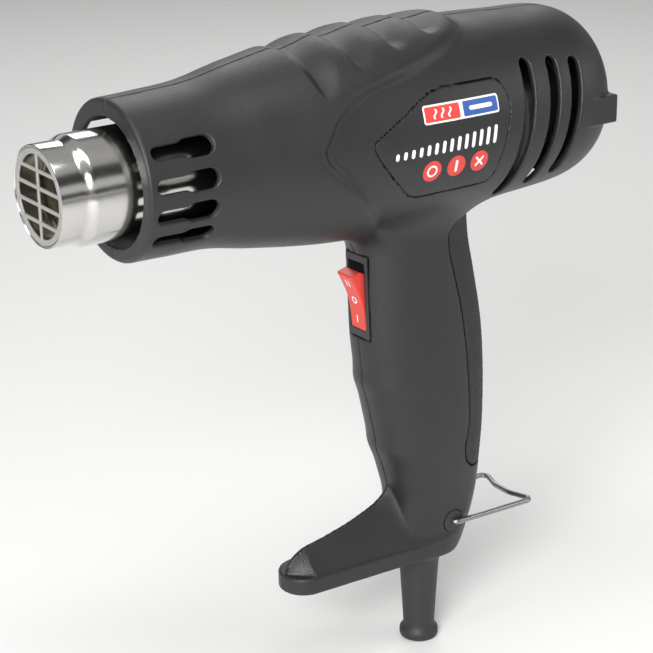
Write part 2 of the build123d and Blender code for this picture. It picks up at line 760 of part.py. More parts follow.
def bail_bush(side):
    """Flanged bush that holds one end of the bail."""
    y_from, y_to = sorted((side * (BUSH_INNER_Y + 0.1), side * BUSH_FACE_Y))
    bush = y_cylinder(BAIL_X, BAIL_Z, BUSH_R, y_from, y_to)
    return bush - y_cylinder(BAIL_X, BAIL_Z, BAIL_WIRE_R + FIT, min(y_from, y_to) - 1, y_to + 1)


def bail_wire():
    """Bent wire loop, its ends turned into the bushes."""
    half = BAIL_HALF_WIDTH
    corners = [(0, -BUSH_INNER_Y - 0.8, 0), (0, -half, 0), (BAIL_LENGTH, -half, 0),
               (BAIL_LENGTH - BAIL_BOW, -half * 0.3, 0), (BAIL_LENGTH - BAIL_BOW, half * 0.3, 0),
               (BAIL_LENGTH, half, 0), (0, half, 0), (0, BUSH_INNER_Y + 0.8, 0)]
    radii = [1.6, BAIL_BEND_R, 8, 8, BAIL_BEND_R, 1.6]
    path = FilletPolyline(*corners, radius=radii)
    start = Plane(origin=path @ 0, z_dir=path % 0)
    wire = sweep(start * Circle(BAIL_WIRE_R), path)
    return Pos(BAIL_X, 0, BAIL_Z) * Rot(0, BAIL_REST_ANGLE, 0) * wire


def main():
    os.makedirs("parts", exist_ok=True)
    body = housing_body()
    save("left_shell", housing_shell(-1, body))
    save("right_shell", housing_shell(1, body))
    save("soft_grip", soft_grip())
    save("left_label_plate", label_plate(-1))
    save("right_label_plate", label_plate(1))
    save("housing_screws", housing_screws())
    save("nozzle_tube", nozzle_tube())
    save("nozzle_grille", nozzle_grille())
    save("mica_sleeve", mica_sleeve())
    save("heater_former", heater_former())
    save("heater_coils", heater_coils())
    save("tube_clamp_ring", tube_clamp_ring())
    save("thermal_cutout", thermal_cutout())
    save("air_duct", air_duct())
    save("motor_mount", motor_mount())
    save("motor_screws", motor_screws())
    save("motor_can", motor_can())
    save("motor_magnets", motor_magnets())
    save("motor_end_cap", motor_end_cap())
    save("front_bearing", bearing(MOTOR_X - 0.6))
    save("rear_bearing", bearing(MOTOR_X + MOTOR_LENGTH + 2.2))
    save("brushes", brushes())
    save("motor_shaft", motor_shaft())
    save("rotor_core", rotor_core())
    save("rotor_windings", rotor_windings())
    save("commutator", commutator())
    save("impeller", impeller())
    save("switch_body", switch_body())
    save("rocker", rocker())
    save("switch_terminals", switch_terminals())
    save("rectifier_board", rectifier_board())
    save("board_diodes", board_parts())
    save("suppression_capacitor", suppression_capacitor())
    save("terminal_block", terminal_block())
    save("cord_clamp", cord_clamp())
    save("clamp_screws", clamp_screws())
    save("cord_boot", cord_boot())
    save("internal_leads", internal_leads())
    save("left_bail_bush", bail_bush(-1))
    save("right_bail_bush", bail_bush(1))
    save("bail_wire", bail_wire())


main()
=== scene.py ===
"""Hot air gun: the looks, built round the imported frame. Shapes are worked out in millimetres in the
part's own frame (X rearward from the nozzle mouth, Z up, parting plane Y = 0) and stored in metres."""

import math

import bmesh
import bpy
import numpy as np
from mathutils import Matrix, Vector


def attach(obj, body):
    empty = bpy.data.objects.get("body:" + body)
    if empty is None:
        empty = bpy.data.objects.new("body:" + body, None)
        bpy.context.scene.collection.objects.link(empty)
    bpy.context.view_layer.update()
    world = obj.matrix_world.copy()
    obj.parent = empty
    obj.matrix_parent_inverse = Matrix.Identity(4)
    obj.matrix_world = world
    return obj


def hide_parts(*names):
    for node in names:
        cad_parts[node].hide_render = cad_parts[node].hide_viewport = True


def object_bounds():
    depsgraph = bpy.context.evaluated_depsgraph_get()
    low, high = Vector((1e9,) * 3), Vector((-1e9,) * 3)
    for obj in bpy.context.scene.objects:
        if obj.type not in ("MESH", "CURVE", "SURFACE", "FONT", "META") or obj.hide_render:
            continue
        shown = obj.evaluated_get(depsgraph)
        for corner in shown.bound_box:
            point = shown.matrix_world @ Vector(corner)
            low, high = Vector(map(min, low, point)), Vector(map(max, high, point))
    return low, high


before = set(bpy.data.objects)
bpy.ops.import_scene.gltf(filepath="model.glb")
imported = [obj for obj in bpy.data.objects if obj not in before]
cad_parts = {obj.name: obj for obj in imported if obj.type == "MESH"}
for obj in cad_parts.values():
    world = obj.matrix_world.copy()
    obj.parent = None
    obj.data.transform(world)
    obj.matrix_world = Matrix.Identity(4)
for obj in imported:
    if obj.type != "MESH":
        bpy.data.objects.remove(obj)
CAD_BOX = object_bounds()
MM = 0.001

# Camera: where it stands and the way it looks
CAMERA_AT = Vector((-0.2683, -0.5523, 0.1824))
CAMERA_AZIMUTH = 34.85
CAMERA_ELEVATION = 20.76
CAMERA_ROLL = -0.866
CAMERA_LENS = 104.77

# Housing: cone stations (x, half width, half height, centre height) and rear body stations
CONE = [(20, 27.8, 27.8, 0.2), (27, 27.8, 27.8, 0.2), (42, 28.4, 28.5, 0.4), (57, 29.2, 29.4, 0.8),
        (75, 32.2, 33.0, 1.0), (93, 35.4, 35.9, 1.2), (110, 37.6, 38.0, 1.4), (127, 38.8, 39.0, 1.8),
        (144, 39.2, 39.0, 2.1), (170, 39.2, 39.0, 2.0)]
BODY = [(70, 27.0, 27.0, 1.0), (93, 32.4, 33.0, 1.4), (110, 35.6, 35.4, 1.8), (130, 37.6, 36.6, 2.1),
        (150, 38.5, 37.1, 2.4), (180, 38.4, 36.3, 2.6), (204, 37.2, 35.1, 2.8), (240, 35.4, 34.2, 4.6)]
COLLAR_FRONT = 27
COLLAR_LIP_X = 29.4
COLLAR_LIP_R = 22.9
SECTION_POWER = 2.05
REAR_START = 202
REAR_END = 235
REAR_FULLNESS = 3.5
WALL = 2.6
BARREL_BLEND = 4.5
CONE_EDGE_ROUNDING = 3.0
COLLAR_ROUNDING = 1.6
PARTING_GAP = 0.08
PARTING_ROUNDING = 0.55

# Where the raised cone stops, as x for a height z, and the finger flutes over its top
SADDLE = [(-60, 150), (-40, 132), (-25, 119), (-12, 108), (-5, 101), (2, 94.5), (7, 93.2), (11, 95.4),
          (20, 103.5), (24.5, 112.5), (29.5, 134), (35, 155), (38.5, 164), (48, 168)]
FLUTES = [(98.0, 53), (115.5, 42), (134.0, 34), (151.5, 26)]
FLUTE_DEPTH = 2.6
FLUTE_FRONT = 4.2
FLUTE_REAR = 12.5

# Handle: stations (z, front x, rear x, half width)
HANDLE = [(20, 128.5, 178.5, 17.0), (-30, 129.4, 178.4, 17.0), (-46, 129.8, 179.6, 17.2),
          (-60, 130.2, 182.6, 17.3), (-84, 131.2, 187.0, 17.6), (-98, 133.2, 188.0, 17.8),
          (-112, 136.0, 188.2, 17.8), (-128, 139.8, 187.8, 17.3), (-142, 143.6, 186.8, 16.0),
          (-152, 146.0, 186.0, 14.8), (-162, 146.0, 184.2, 13.8), (-170, 146.0, 181.4, 13.4),
          (-190, 146.0, 172.0, 12.8)]
HANDLE_TOP = 5
HANDLE_POWER = 2.45
HANDLE_BLEND = 11
FINGER_STEPS = [(-100.5, 1.0), (-130.0, 1.0)]

# Foot: plan circles (x, radius), heights and the ridge of the toe (x, rise above the skirt)
FOOT_BOTTOM = -178.6
SKIRT_TOP = -171.6
TOE_CIRCLE = (103.7, 10.1)
HEEL_CIRCLE = (163.0, 13.5)
TOE_RIDGE = [(90, 4.0), (94.6, 6.7), (101.8, 9.7), (113.6, 12.2), (130.2, 16.9), (140.4, 21.8), (150, 32)]

# Openings
COLLAR_SLOT_ANGLES = (31, 8, -14, -35)
COLLAR_SLOT_X = (32.6, 40.5, 50.0)
COLLAR_SLOT_NARROW = 2.45
COLLAR_SLOT_WIDE = 3.5
INTAKE_SLOTS = [(181.5, 26, -26), (194.5, 25, -23.5), (205.5, 23.5, -21)]
INTAKE_HALF_WIDTH = 2.5
INTAKE_SLOPE = 0.16
SLOT_INNER_END = 15
SLOT_ROUNDING = 1.0
SCREWS = [(80, 28), (80, -26), (152, 35), (212, 26), (210, -24.5), (158, -100), (124, -174)]
SCREW_SEAT_Y = 5
SCREW_POCKET_R = 3.0
SCREW_COLUMN_WALL = 1.3

# Rear bar
BAR_X = (212, 228.4)
BAR_Z = (-3.8, 7.0)
BAR_HALF_WIDTH = 36

# Label panel, grip panel, switch and bail
LABEL_OUTLINE = [(112.3, 6), (140, 21.5), (170, 21.5), (173.8, 13), (167, -16.6), (131, -17), (116, -1.5)]
LABEL_DEPTH = 0.6
LABEL_CORNER = 3.5
LABEL_INNER_Y = 20
GRIP_EDGE = [(-150, 178), (-142, 175.2), (-137, 172.6), (-120, 173.4), (-103, 172.6), (-85, 170.7),
             (-70, 168.2), (-57, 164.9), (-46, 162.4), (-39, 163.2), (-32, 174.0), (-26, 184)]
GRIP_ENDS = (-142.2, -29.0)
GRIP_DEPTH = 1.6
DIMPLE_PITCH = 1.2
DIMPLE_DEPTH = 0.32
DIMPLE_SPREAD = 0.42
SWITCH_AT = (130.6, -63.3)
SWITCH_TILT = -2.4
BEZEL = (13.0, 34.0)
SWITCH_BODY = (11.6, 31.0, 20.0)
SWITCH_BAY = (9.8, 27.4, 12.0)
ROCKER_WIDTH = 9.0
ROCKER_HALF_HEIGHT = 12.2
ROCKER_PROUD = 3.2
ROCKER_DIP = 1.8
ROCKER_PIVOT_DEPTH = 5.0
ROCKER_TILT = 14
BAIL_AT = (167.9, -164.6)
BUSH_R = 4.6
BUSH_INNER_Y = 9.5

# Strain relief: its axis, the hole for it and its outline (z, radius)
BOOT_X = 160.9
BOOT_HOLE_R = 8.2
BOOT_HOLE_TOP = -160
BOOT_OUTLINE = [(-172.9, 3.6), (-172.9, 9.3), (-175.9, 9.3), (-175.9, 8.1), (-178.65, 8.1), (-178.65, 10.4),
                (-178.9, 10.75), (-179.3, 10.8), (-180.2, 10.8), (-180.7, 10.5), (-181.4, 9.6),
                (-182.8, 8.7), (-186, 8.1), (-200, 7.2), (-213.1, 6.45), (-214.7, 6.6), (-215.7, 7.2),
                (-216.5, 7.85), (-217.3, 8.0), (-218.9, 8.0), (-219.7, 7.7), (-220, 7.2), (-220, 4.2),
                (-219.7, 3.6)]

# Nozzle
TUBE_FRONT_R = 17.8
TUBE_REAR_R = 19.4
TUBE_WALL = 0.9
TUBE_END = 112
SPIGOT_LENGTH = 8.4
SHOULDER_LENGTH = 4.6
GRILLE_R = 16.7
GRILLE_OPENING_R = 14.6
GRILLE_BAR = 1.35
GRILLE_PITCH = 6.1

# Brightness of the surroundings by the sine of the height above the horizon
SKY_BANDS = [(0.0, 0.9), (0.05, 0.03), (0.16, 0.02), (0.22, 0.65), (0.40, 0.7), (0.50, 0.04), (0.72, 0.06),
             (0.8, 0.45)]

# Prints on the label panel
DISCS = [(137.7, -7.2), (148.4, -6.9), (158.9, -6.8)]
HEAT_BARS = 14
BADGE_Z = 13.5

# Mesh sizes and the thickness of the prints
HOUSING_STEP = 0.8
GRIP_STEP = 0.42
PRINT_THICKNESS = 0.05

# Edges sharper than this stay sharp, in degrees
LATHE_SHARP_ANGLE = 35
PRINT_SHARP_ANGLE = 40

# Half the floor's side, in metres
FLOOR_HALF = 12.0


# ------------------------------------------------------------------------------------------
# Fields: a solid is a function that is negative inside, in millimetres

def smooth_min(a, b, radius):
    blend = np.clip(0.5 + 0.5 * (b - a) / radius, 0, 1)
    return b * (1 - blend) + a * blend - radius * blend * (1 - blend)


def smooth_max(a, b, radius):
    return -smooth_min(-a, -b, radius)


def curve(x, stations, column=1):
    """A smooth curve through the stations' values, flat beyond both ends."""
    knots = np.array([station[0] for station in stations], float)
    values = np.array([station[column] for station in stations], float)
    order = np.argsort(knots)
    knots, values = knots[order], values[order]
    slopes = np.gradient(values, knots)
    x = np.clip(x, knots[0], knots[-1])
    index = np.clip(np.searchsorted(knots, x) - 1, 0, len(knots) - 2)
    span = knots[index + 1] - knots[index]
    t = (x - knots[index]) / span
    start, end = values[index], values[index + 1]
    lead, tail = slopes[index] * span, slopes[index + 1] * span
    return (start * (1 + 2 * t) * (1 - t) ** 2 + lead * t * (1 - t) ** 2
            + end * t * t * (3 - 2 * t) + tail * t * t * (t - 1))


def box_field(x, y, z, half, rounding):
    """A box about the origin with rounded edges."""
    dx = np.abs(x) - half[0] + rounding
    dy = np.abs(y) - half[1] + rounding
    dz = np.abs(z) - half[2] + rounding
    outside = np.sqrt(np.maximum(dx, 0) ** 2 + np.maximum(dy, 0) ** 2 + np.maximum(dz, 0) ** 2)
    return outside + np.minimum(np.maximum(dx, np.maximum(dy, dz)), 0) - rounding


def capsule(u, v, start, end, radius):
    """A stadium in a plane, along v from start to end."""
    along = v - np.clip(v, start, end)
    return np.sqrt(u * u + along * along) - radius


def barrel_skin(x, y, z, stations, inset):
    """A point's reach as a share of the section's, so 1 on the skin, and the section's mean radius."""
    width = curve(x, stations, 1) - inset
    height = curve(x, stations, 2) - inset
    centre = curve(x, stations, 3)
    ratio = np.abs(y / width) ** SECTION_POWER + np.abs((z - centre) / height) ** SECTION_POWER
    return ratio ** (1 / SECTION_POWER), (width + height) / 2


def body_field(x, y, z, inset):
    """The rear body with its rounded end."""
    ratio, radius = barrel_skin(x, y, z, BODY, inset)
    length = REAR_END - inset - REAR_START
    along = np.maximum(0, (x - REAR_START) / length)
    closed = (ratio ** REAR_FULLNESS + along ** REAR_FULLNESS) ** (1 / REAR_FULLNESS)
    return (closed - 1) * radius


def flute_depth(x, y, z):
    """How deep the finger flutes are cut at a point."""
    turn = np.degrees(np.arctan2(np.abs(y), z))
    depth = 0
    for centre, reach in FLUTES:
        left = np.clip(1 - turn / reach, 0, 1)
        width = np.sqrt(left) + 0.15
        across = x - centre
        front = np.clip(1 + across / (FLUTE_FRONT * width), 0, 1)
        rear = np.clip(1 - across / (FLUTE_REAR * width), 0, 1)
        shape = np.where(across < 0, front * front * (3 - 2 * front), rear * rear * (3 - 2 * rear))
        fade = np.clip(left * 3, 0, 1)
        depth = np.maximum(depth, FLUTE_DEPTH * shape * fade * fade * (3 - 2 * fade))
    return depth


def cone_field(x, y, z, inset):
    """The raised cone of the barrel's front, with its flutes and its curved rear edge."""
    ratio, radius = barrel_skin(x, y, z, CONE, inset)
    skin = (ratio - 1) * radius + flute_depth(x, y, z)
    edge = x - curve(z, SADDLE)
    slope = curve(z + 0.5, SADDLE) - curve(z - 0.5, SADDLE)
    rim = edge / np.sqrt(1 + slope * slope) + inset
    return smooth_max(skin, rim, CONE_EDGE_ROUNDING)


def handle_field(x, y, z, inset):
    front, rear = curve(z, HANDLE, 1), curve(z, HANDLE, 2)
    half, width = (rear - front) / 2 - inset, curve(z, HANDLE, 3) - inset
    across = (x - (front + rear) / 2) / half
    ratio = (np.abs(across) ** HANDLE_POWER + np.abs(y / width) ** HANDLE_POWER) ** (1 / HANDLE_POWER)
    skin = (ratio - 1) * width
    for height, depth in FINGER_STEPS:
        swell = np.exp(-((z - height) / 5.0) ** 2) * np.clip(-across, 0, 1)
        skin = skin - depth * 0.6 * swell
    ends = np.maximum(FOOT_BOTTOM + inset - z, z - HANDLE_TOP)
    return smooth_max(skin, ends, 4.0)


def foot_plan(x, y, inset):
    """The foot's outline seen from above: two circles joined by their tangents."""
    (toe_x, toe_r), (heel_x, heel_r) = TOE_CIRCLE, HEEL_CIRCLE
    length = heel_x - toe_x
    lean = (heel_r - toe_r) / length
    shift = np.abs(y) * lean / math.sqrt(1 - lean * lean)
    along = np.clip((x - toe_x + shift) / length, 0, 1)
    reach = np.sqrt((x - toe_x - along * length) ** 2 + y * y)
    return reach - (toe_r + along * (heel_r - toe_r)) + inset


def foot_field(x, y, z, inset):
    """The skirt and, on it, the ridged toe with hollow sides."""
    plan = foot_plan(x, y, inset)
    slab = np.maximum(z - SKIRT_TOP + inset, FOOT_BOTTOM + inset - z)
    skirt = smooth_max(plan, slab, 1.0)
    width = np.maximum(-foot_plan(x, 0, inset + 0.5), 0.5)
    side = np.clip(np.sqrt(y * y + 0.6) / width, 0, 1)
    top = curve(x, TOE_RIDGE) * (1 - side) ** 1.3
    roof = (z - SKIRT_TOP - top + inset * 1.4) * 0.8
    ridge = smooth_max(roof, smooth_max(plan + 0.5, FOOT_BOTTOM + inset + 1 - z, 1.0), 1.0)
    return smooth_min(skirt, ridge, 0.4)


def bar_field(x, y, z):
    """The bar across the rear body."""
    half = ((BAR_X[1] - BAR_X[0]) / 2, BAR_HALF_WIDTH, (BAR_Z[1] - BAR_Z[0]) / 2)
    return box_field(x - sum(BAR_X) / 2, y, z - sum(BAR_Z) / 2, half, 0.7)


def outside_field(x, y, z):
    """The whole housing's outer skin."""
    barrel = smooth_min(body_field(x, y, z, 0), cone_field(x, y, z, 0), BARREL_BLEND)
    barrel = smooth_max(barrel, COLLAR_FRONT - x, COLLAR_ROUNDING)
    handle = smooth_min(handle_field(x, y, z, 0), foot_field(x, y, z, 0), 3.0)
    skin = smooth_min(barrel, handle, HANDLE_BLEND)
    return smooth_min(skin, bar_field(x, y, z), 0.8)


def inside_field(x, y, z):
    """The hollow in the housing."""
    barrel = smooth_min(body_field(x, y, z, WALL), cone_field(x, y, z, WALL), BARREL_BLEND)
    barrel = np.maximum(barrel, COLLAR_LIP_X - x)
    mouth = np.maximum(np.sqrt(y * y + z * z) - COLLAR_LIP_R, x - COLLAR_LIP_X - 4)
    barrel = smooth_min(barrel, mouth, 1.0)
    handle = np.maximum(handle_field(x, y, z, WALL), FOOT_BOTTOM + 6 - z)
    return smooth_min(barrel, handle, HANDLE_BLEND - 2)


def collar_slot_field(x, y, z):
    """Keyhole slots round the collar, the same on both sides."""
    slots = 1e3
    front, step, rear = COLLAR_SLOT_X
    for angle in COLLAR_SLOT_ANGLES:
        turn = math.radians(angle)
        out = np.abs(y) * math.cos(turn) + z * math.sin(turn)
        around = z * math.cos(turn) - np.abs(y) * math.sin(turn)
        narrow = capsule(around, x, front, step, COLLAR_SLOT_NARROW)
        wide = capsule(around, x, step + COLLAR_SLOT_WIDE + 0.2, rear, COLLAR_SLOT_WIDE)
        shape = smooth_min(narrow, wide, 1.0)
        slots = np.minimum(slots, np.maximum(shape, SLOT_INNER_END - out))
    return slots


def intake_slot_field(x, y, z):
    """Leaning round-ended slots in both sides of the rear body."""
    slots = 1e3
    lean = math.atan(INTAKE_SLOPE)
    for centre, top, bottom in INTAKE_SLOTS:
        across = (x - centre) * math.cos(lean) - z * math.sin(lean)
        along = (x - centre) * math.sin(lean) + z * math.cos(lean)
        shape = capsule(across, along, bottom + INTAKE_HALF_WIDTH, top - INTAKE_HALF_WIDTH, INTAKE_HALF_WIDTH)
        slots = np.minimum(slots, np.maximum(shape, SLOT_INNER_END - np.abs(y)))
    return slots


def label_field(x, z, grow):
    """The label panel's outline in side view, its corners rounded."""
    count = len(LABEL_OUTLINE)
    region = -1e3
    for i in range(count):
        (x0, z0), (x1, z1) = LABEL_OUTLINE[i], LABEL_OUTLINE[(i + 1) % count]
        length = math.hypot(x1 - x0, z1 - z0)
        edge = ((x - x0) * (z0 - z1) + (z - z0) * (x1 - x0)) / length
        region = smooth_max(region, edge, LABEL_CORNER)
    return region - grow


def grip_field(x, z, grow):
    """The grip panel's outline in side view."""
    edge = curve(z, GRIP_EDGE) - x
    slope = curve(z + 0.5, GRIP_EDGE) - curve(z - 0.5, GRIP_EDGE)
    edge = edge / np.sqrt(1 + slope * slope)
    ends = smooth_max(GRIP_ENDS[0] - z, z - GRIP_ENDS[1], 3.0)
    return smooth_max(edge, ends, 4.0) - grow


def switch_local(x, z):
    """Depth behind the bezel's face and height, in the switch's own tilted frame."""
    tilt = math.radians(SWITCH_TILT)
    dx, dz = x - SWITCH_AT[0], z - SWITCH_AT[1]
    return dx * math.cos(tilt) - dz * math.sin(tilt), dx * math.sin(tilt) + dz * math.cos(tilt)


def shell_field(x, y, z):
    """Both halves of the housing in one, the same on both sides."""
    skin = outside_field(x, y, z)
    solid = np.maximum(skin, -inside_field(x, y, z))
    for slots in (collar_slot_field(x, y, z), intake_slot_field(x, y, z)):
        solid = smooth_max(solid, -slots, SLOT_ROUNDING)
    label_bed = np.maximum(label_field(x, z, 0.4), -(skin + LABEL_DEPTH))
    label_bed = np.maximum(label_bed, LABEL_INNER_Y - np.abs(y))
    solid = smooth_max(solid, -label_bed, 0.25)
    handle = handle_field(x, y, z, 0)
    grip_bed = np.maximum(grip_field(x, z, 0.45), -(handle + GRIP_DEPTH))
    grip_bed = np.maximum(grip_bed, z + 27)
    solid = smooth_max(solid, -grip_bed, 0.5)
    depth, height = switch_local(x, z)
    seat = box_field(depth + 8, y, height, (8 + 1.6, BEZEL[0] / 2 + 0.12, BEZEL[1] / 2 + 0.12), 0.2)
    hole = box_field(depth, y, height, (24, SWITCH_BODY[0] / 2 + 0.1, SWITCH_BODY[1] / 2 + 0.1), 0.2)
    solid = smooth_max(solid, -np.minimum(seat, hole), 0.4)
    boot = np.sqrt((x - BOOT_X) ** 2 + y * y) - BOOT_HOLE_R
    solid = smooth_max(solid, -np.maximum(boot, z - BOOT_HOLE_TOP), 0.4)
    bush = np.sqrt((x - BAIL_AT[0]) ** 2 + (z - BAIL_AT[1]) ** 2) - BUSH_R - 0.05
    solid = smooth_max(solid, -np.maximum(bush, BUSH_INNER_Y - np.abs(y)), 0.4)
    return solid


def half_field(side):
    """One half of the housing: screw pockets are in the +Y half only."""
    def field(x, y, z):
        solid = shell_field(x, y, z)
        if side > 0:
            for screw_x, screw_z in SCREWS:
                reach = np.sqrt((x - screw_x) ** 2 + (z - screw_z) ** 2)
                column = np.maximum(reach - SCREW_POCKET_R - SCREW_COLUMN_WALL, outside_field(x, y, z) + 0.2)
                solid = smooth_min(solid, np.maximum(column, -y), 0.8)
                pocket = np.maximum(reach - SCREW_POCKET_R, SCREW_SEAT_Y - y)
                solid = smooth_max(solid, -pocket, 0.5)
        return smooth_max(solid, PARTING_GAP - side * y, PARTING_ROUNDING)
    return field


def switch_box(depth, y, height, depths, half_y, half_height, rounding):
    middle = sum(depths) / 2
    return box_field(depth - middle, y, height, ((depths[1] - depths[0]) / 2, half_y, half_height), rounding)


def switch_field(x, y, z):
    """Bezel and body of the switch, hollow for the rocker."""
    depth, height = switch_local(x, z)
    bezel = switch_box(depth, y, height, (0, 1.55), BEZEL[0] / 2, BEZEL[1] / 2, 0.5)
    body = switch_box(depth, y, height, (1, SWITCH_BODY[2]), SWITCH_BODY[0] / 2, SWITCH_BODY[1] / 2, 0.3)
    bay = switch_box(depth, y, height, (-3, SWITCH_BAY[2]), SWITCH_BAY[0] / 2, SWITCH_BAY[1] / 2, 0.3)
    return smooth_max(np.minimum(bezel, body), -bay, 0.35)


def rocker_field(x, y, z):
    """The rocker key: a hollow-faced wedge tilted about its pivot."""
    depth, height = switch_local(x, z)
    turn = math.radians(-ROCKER_TILT)
    deep = depth - ROCKER_PIVOT_DEPTH
    depth = deep * math.cos(turn) - height * math.sin(turn) + ROCKER_PIVOT_DEPTH
    height = deep * math.sin(turn) + height * math.cos(turn)
    face = -ROCKER_PROUD + ROCKER_DIP * (1 - np.clip(np.abs(height) / ROCKER_HALF_HEIGHT, 0, 1) ** 1.6)
    front = face - depth
    back = (depth - 1.5) * 0.8 + (np.abs(height) - ROCKER_HALF_HEIGHT) * 0.75
    back = np.maximum(back, depth - 8)
    sides = np.maximum(np.abs(y) - ROCKER_WIDTH / 2, np.abs(height) - ROCKER_HALF_HEIGHT)
    return smooth_max(smooth_max(front, back, 0.6), sides, 0.7)


def grip_pad_field(x, y, z):
    """The soft panel, covered with small dimples."""
    handle = handle_field(x, y, z, 0)
    around = 25 * np.arctan2(y, x - 158)
    row = z / DIMPLE_PITCH
    shift = DIMPLE_PITCH * np.round(row)
    cell_z = z - shift
    offset = DIMPLE_PITCH * np.mod(np.round(row), 2)
    cell_s = np.mod(around + offset, 2 * DIMPLE_PITCH) - DIMPLE_PITCH
    dimple = np.exp(-(cell_z * cell_z + cell_s * cell_s) / DIMPLE_SPREAD)
    inner = grip_field(x, z, -1.6)
    dimple = dimple * np.clip(-inner, 0, 1)
    pad = smooth_max(grip_field(x, z, 0), handle + 0.05, 0.6)
    pad = pad + DIMPLE_DEPTH * dimple * np.clip(1 + handle, 0, 1)
    return np.maximum(np.maximum(pad, -(handle + GRIP_DEPTH - 0.1)), z + 27.4)


def label_plate_field(side):
    def field(x, y, z):
        skin = outside_field(x, y, z)
        plate = smooth_max(label_field(x, z, 0), skin + 0.03, 0.25)
        return np.maximum(np.maximum(plate, -(skin + LABEL_DEPTH - 0.05)), LABEL_INNER_Y - side * y)
    return field


def grille_field(x, y, z):
    """Stamped guard with one upright bar and four cross bars, edges softened."""
    reach = np.sqrt(y * y + z * z)
    rim = np.abs(reach - (GRILLE_R + GRILLE_OPENING_R) / 2) - (GRILLE_R - GRILLE_OPENING_R) / 2
    bars = np.abs(y) - GRILLE_BAR / 2
    for row in (-1.5, -0.5, 0.5, 1.5):
        bars = np.minimum(bars, np.abs(z - row * GRILLE_PITCH) - GRILLE_BAR / 2)
    bars = np.maximum(bars, reach - GRILLE_R)
    plan = smooth_min(rim, bars, 0.5)
    return smooth_max(plan, np.abs(x - 0.6) - 0.4, 0.3)


# ------------------------------------------------------------------------------------------
# Meshing

def sample(field, low, high, step, block=16):
    """Field values on a grid. Blocks the surface doesn't come near keep their sign only."""
    counts = [int(math.ceil((high[i] - low[i]) / step / block)) * block + 1 for i in range(3)]
    axes = [low[i] + step * np.arange(counts[i]) for i in range(3)]
    values = np.empty(counts)
    middles = [axes[i][block // 2::block] for i in range(3)]
    coarse = field(*np.meshgrid(*middles, indexing="ij"))
    near = 1.25 * block * step * math.sqrt(3) / 2 + 1.5
    for i, j, k in np.ndindex(coarse.shape):
        cut = tuple(slice(n * block, n * block + block + 1) for n in (i, j, k))
        if abs(coarse[i, j, k]) > near:
            values[cut] = coarse[i, j, k]
    for i, j, k in np.ndindex(coarse.shape):
        cut = tuple(slice(n * block, n * block + block + 1) for n in (i, j, k))
        if abs(coarse[i, j, k]) <= near:
            points = np.meshgrid(*(axes[n][cut[n]] for n in range(3)), indexing="ij")
            values[cut] = field(*points)
    return axes, values


def cell_corner(grid, offset):
    return grid[offset[0]:grid.shape[0] - 1 + offset[0], offset[1]:grid.shape[1] - 1 + offset[1],
                offset[2]:grid.shape[2] - 1 + offset[2]]


def surface_net(axes, values):
    """Vertices and quads of the zero surface, one vertex to a crossed cell."""
    corners = [(i, j, k) for i in (0, 1) for j in (0, 1) for k in (0, 1)]
    inside = values < 0
    count = sum(cell_corner(inside, corner).astype(np.int8) for corner in corners)
    active = (count > 0) & (count < 8)
    cells = np.argwhere(active)
    number = np.full(active.shape, -1)
    number[active] = np.arange(len(cells))
    total, crossed = np.zeros((len(cells), 3)), np.zeros(len(cells))
    for corner in corners:
        for axis in range(3):
            if corner[axis]:
                continue
            other = list(corner)
            other[axis] = 1
            a = values[tuple((cells + corner).T)]
            b = values[tuple((cells + other).T)]
            cross = (a < 0) != (b < 0)
            share = np.where(cross, a / np.where(cross, a - b, 1), 0)
            point = np.tile(np.array(corner, float), (len(cells), 1))
            point[:, axis] = share
            total += point * cross[:, None]
            crossed += cross
    step = axes[0][1] - axes[0][0]
    origin = np.array([axis[0] for axis in axes])
    points = origin + step * (cells + total / crossed[:, None])
    quads = []
    for axis in range(3):
        first = [slice(None)] * 3
        second = [slice(None)] * 3
        first[axis], second[axis] = slice(0, -1), slice(1, None)
        a, b = inside[tuple(first)], inside[tuple(second)]
        edges = np.argwhere(a != b)
        side_one, side_two = (axis + 1) % 3, (axis + 2) % 3
        keep = (edges[:, side_one] > 0) & (edges[:, side_two] > 0)
        keep &= edges[:, side_one] < active.shape[side_one]
        keep &= edges[:, side_two] < active.shape[side_two]
        edges = edges[keep]
        ring = []
        for back_one, back_two in ((0, 0), (1, 0), (1, 1), (0, 1)):
            cell = edges.copy()
            cell[:, side_one] -= back_one
            cell[:, side_two] -= back_two
            ring.append(number[tuple(cell.T)])
        ring = np.stack(ring, axis=1)
        leaves = inside[tuple(edges.T)]
        ring[~leaves] = ring[~leaves][:, ::-1]
        quads.append(ring)
    return points, np.concatenate(quads)


def gradient(field, points, reach=0.12):
    """Value and slope of a field at points."""
    x, y, z = points.T
    slope = np.stack([field(x + reach, y, z) - field(x - reach, y, z),
                      field(x, y + reach, z) - field(x, y - reach, z),
                      field(x, y, z + reach) - field(x, y, z - reach)], axis=1) / (2 * reach)
    return field(x, y, z), slope


def mesh_object(name, points, faces, material):
    """A mesh object from points in millimetres."""
    mesh = bpy.data.meshes.new(name)
    points = np.asarray(points, float) * MM
    mesh.from_pydata(points.tolist(), [], [list(map(int, face)) for face in faces])
    mesh.validate()
    mesh.shade_smooth()
    mesh.materials.append(material)
    piece = bpy.data.objects.new(name, mesh)
    bpy.context.collection.objects.link(piece)
    return piece


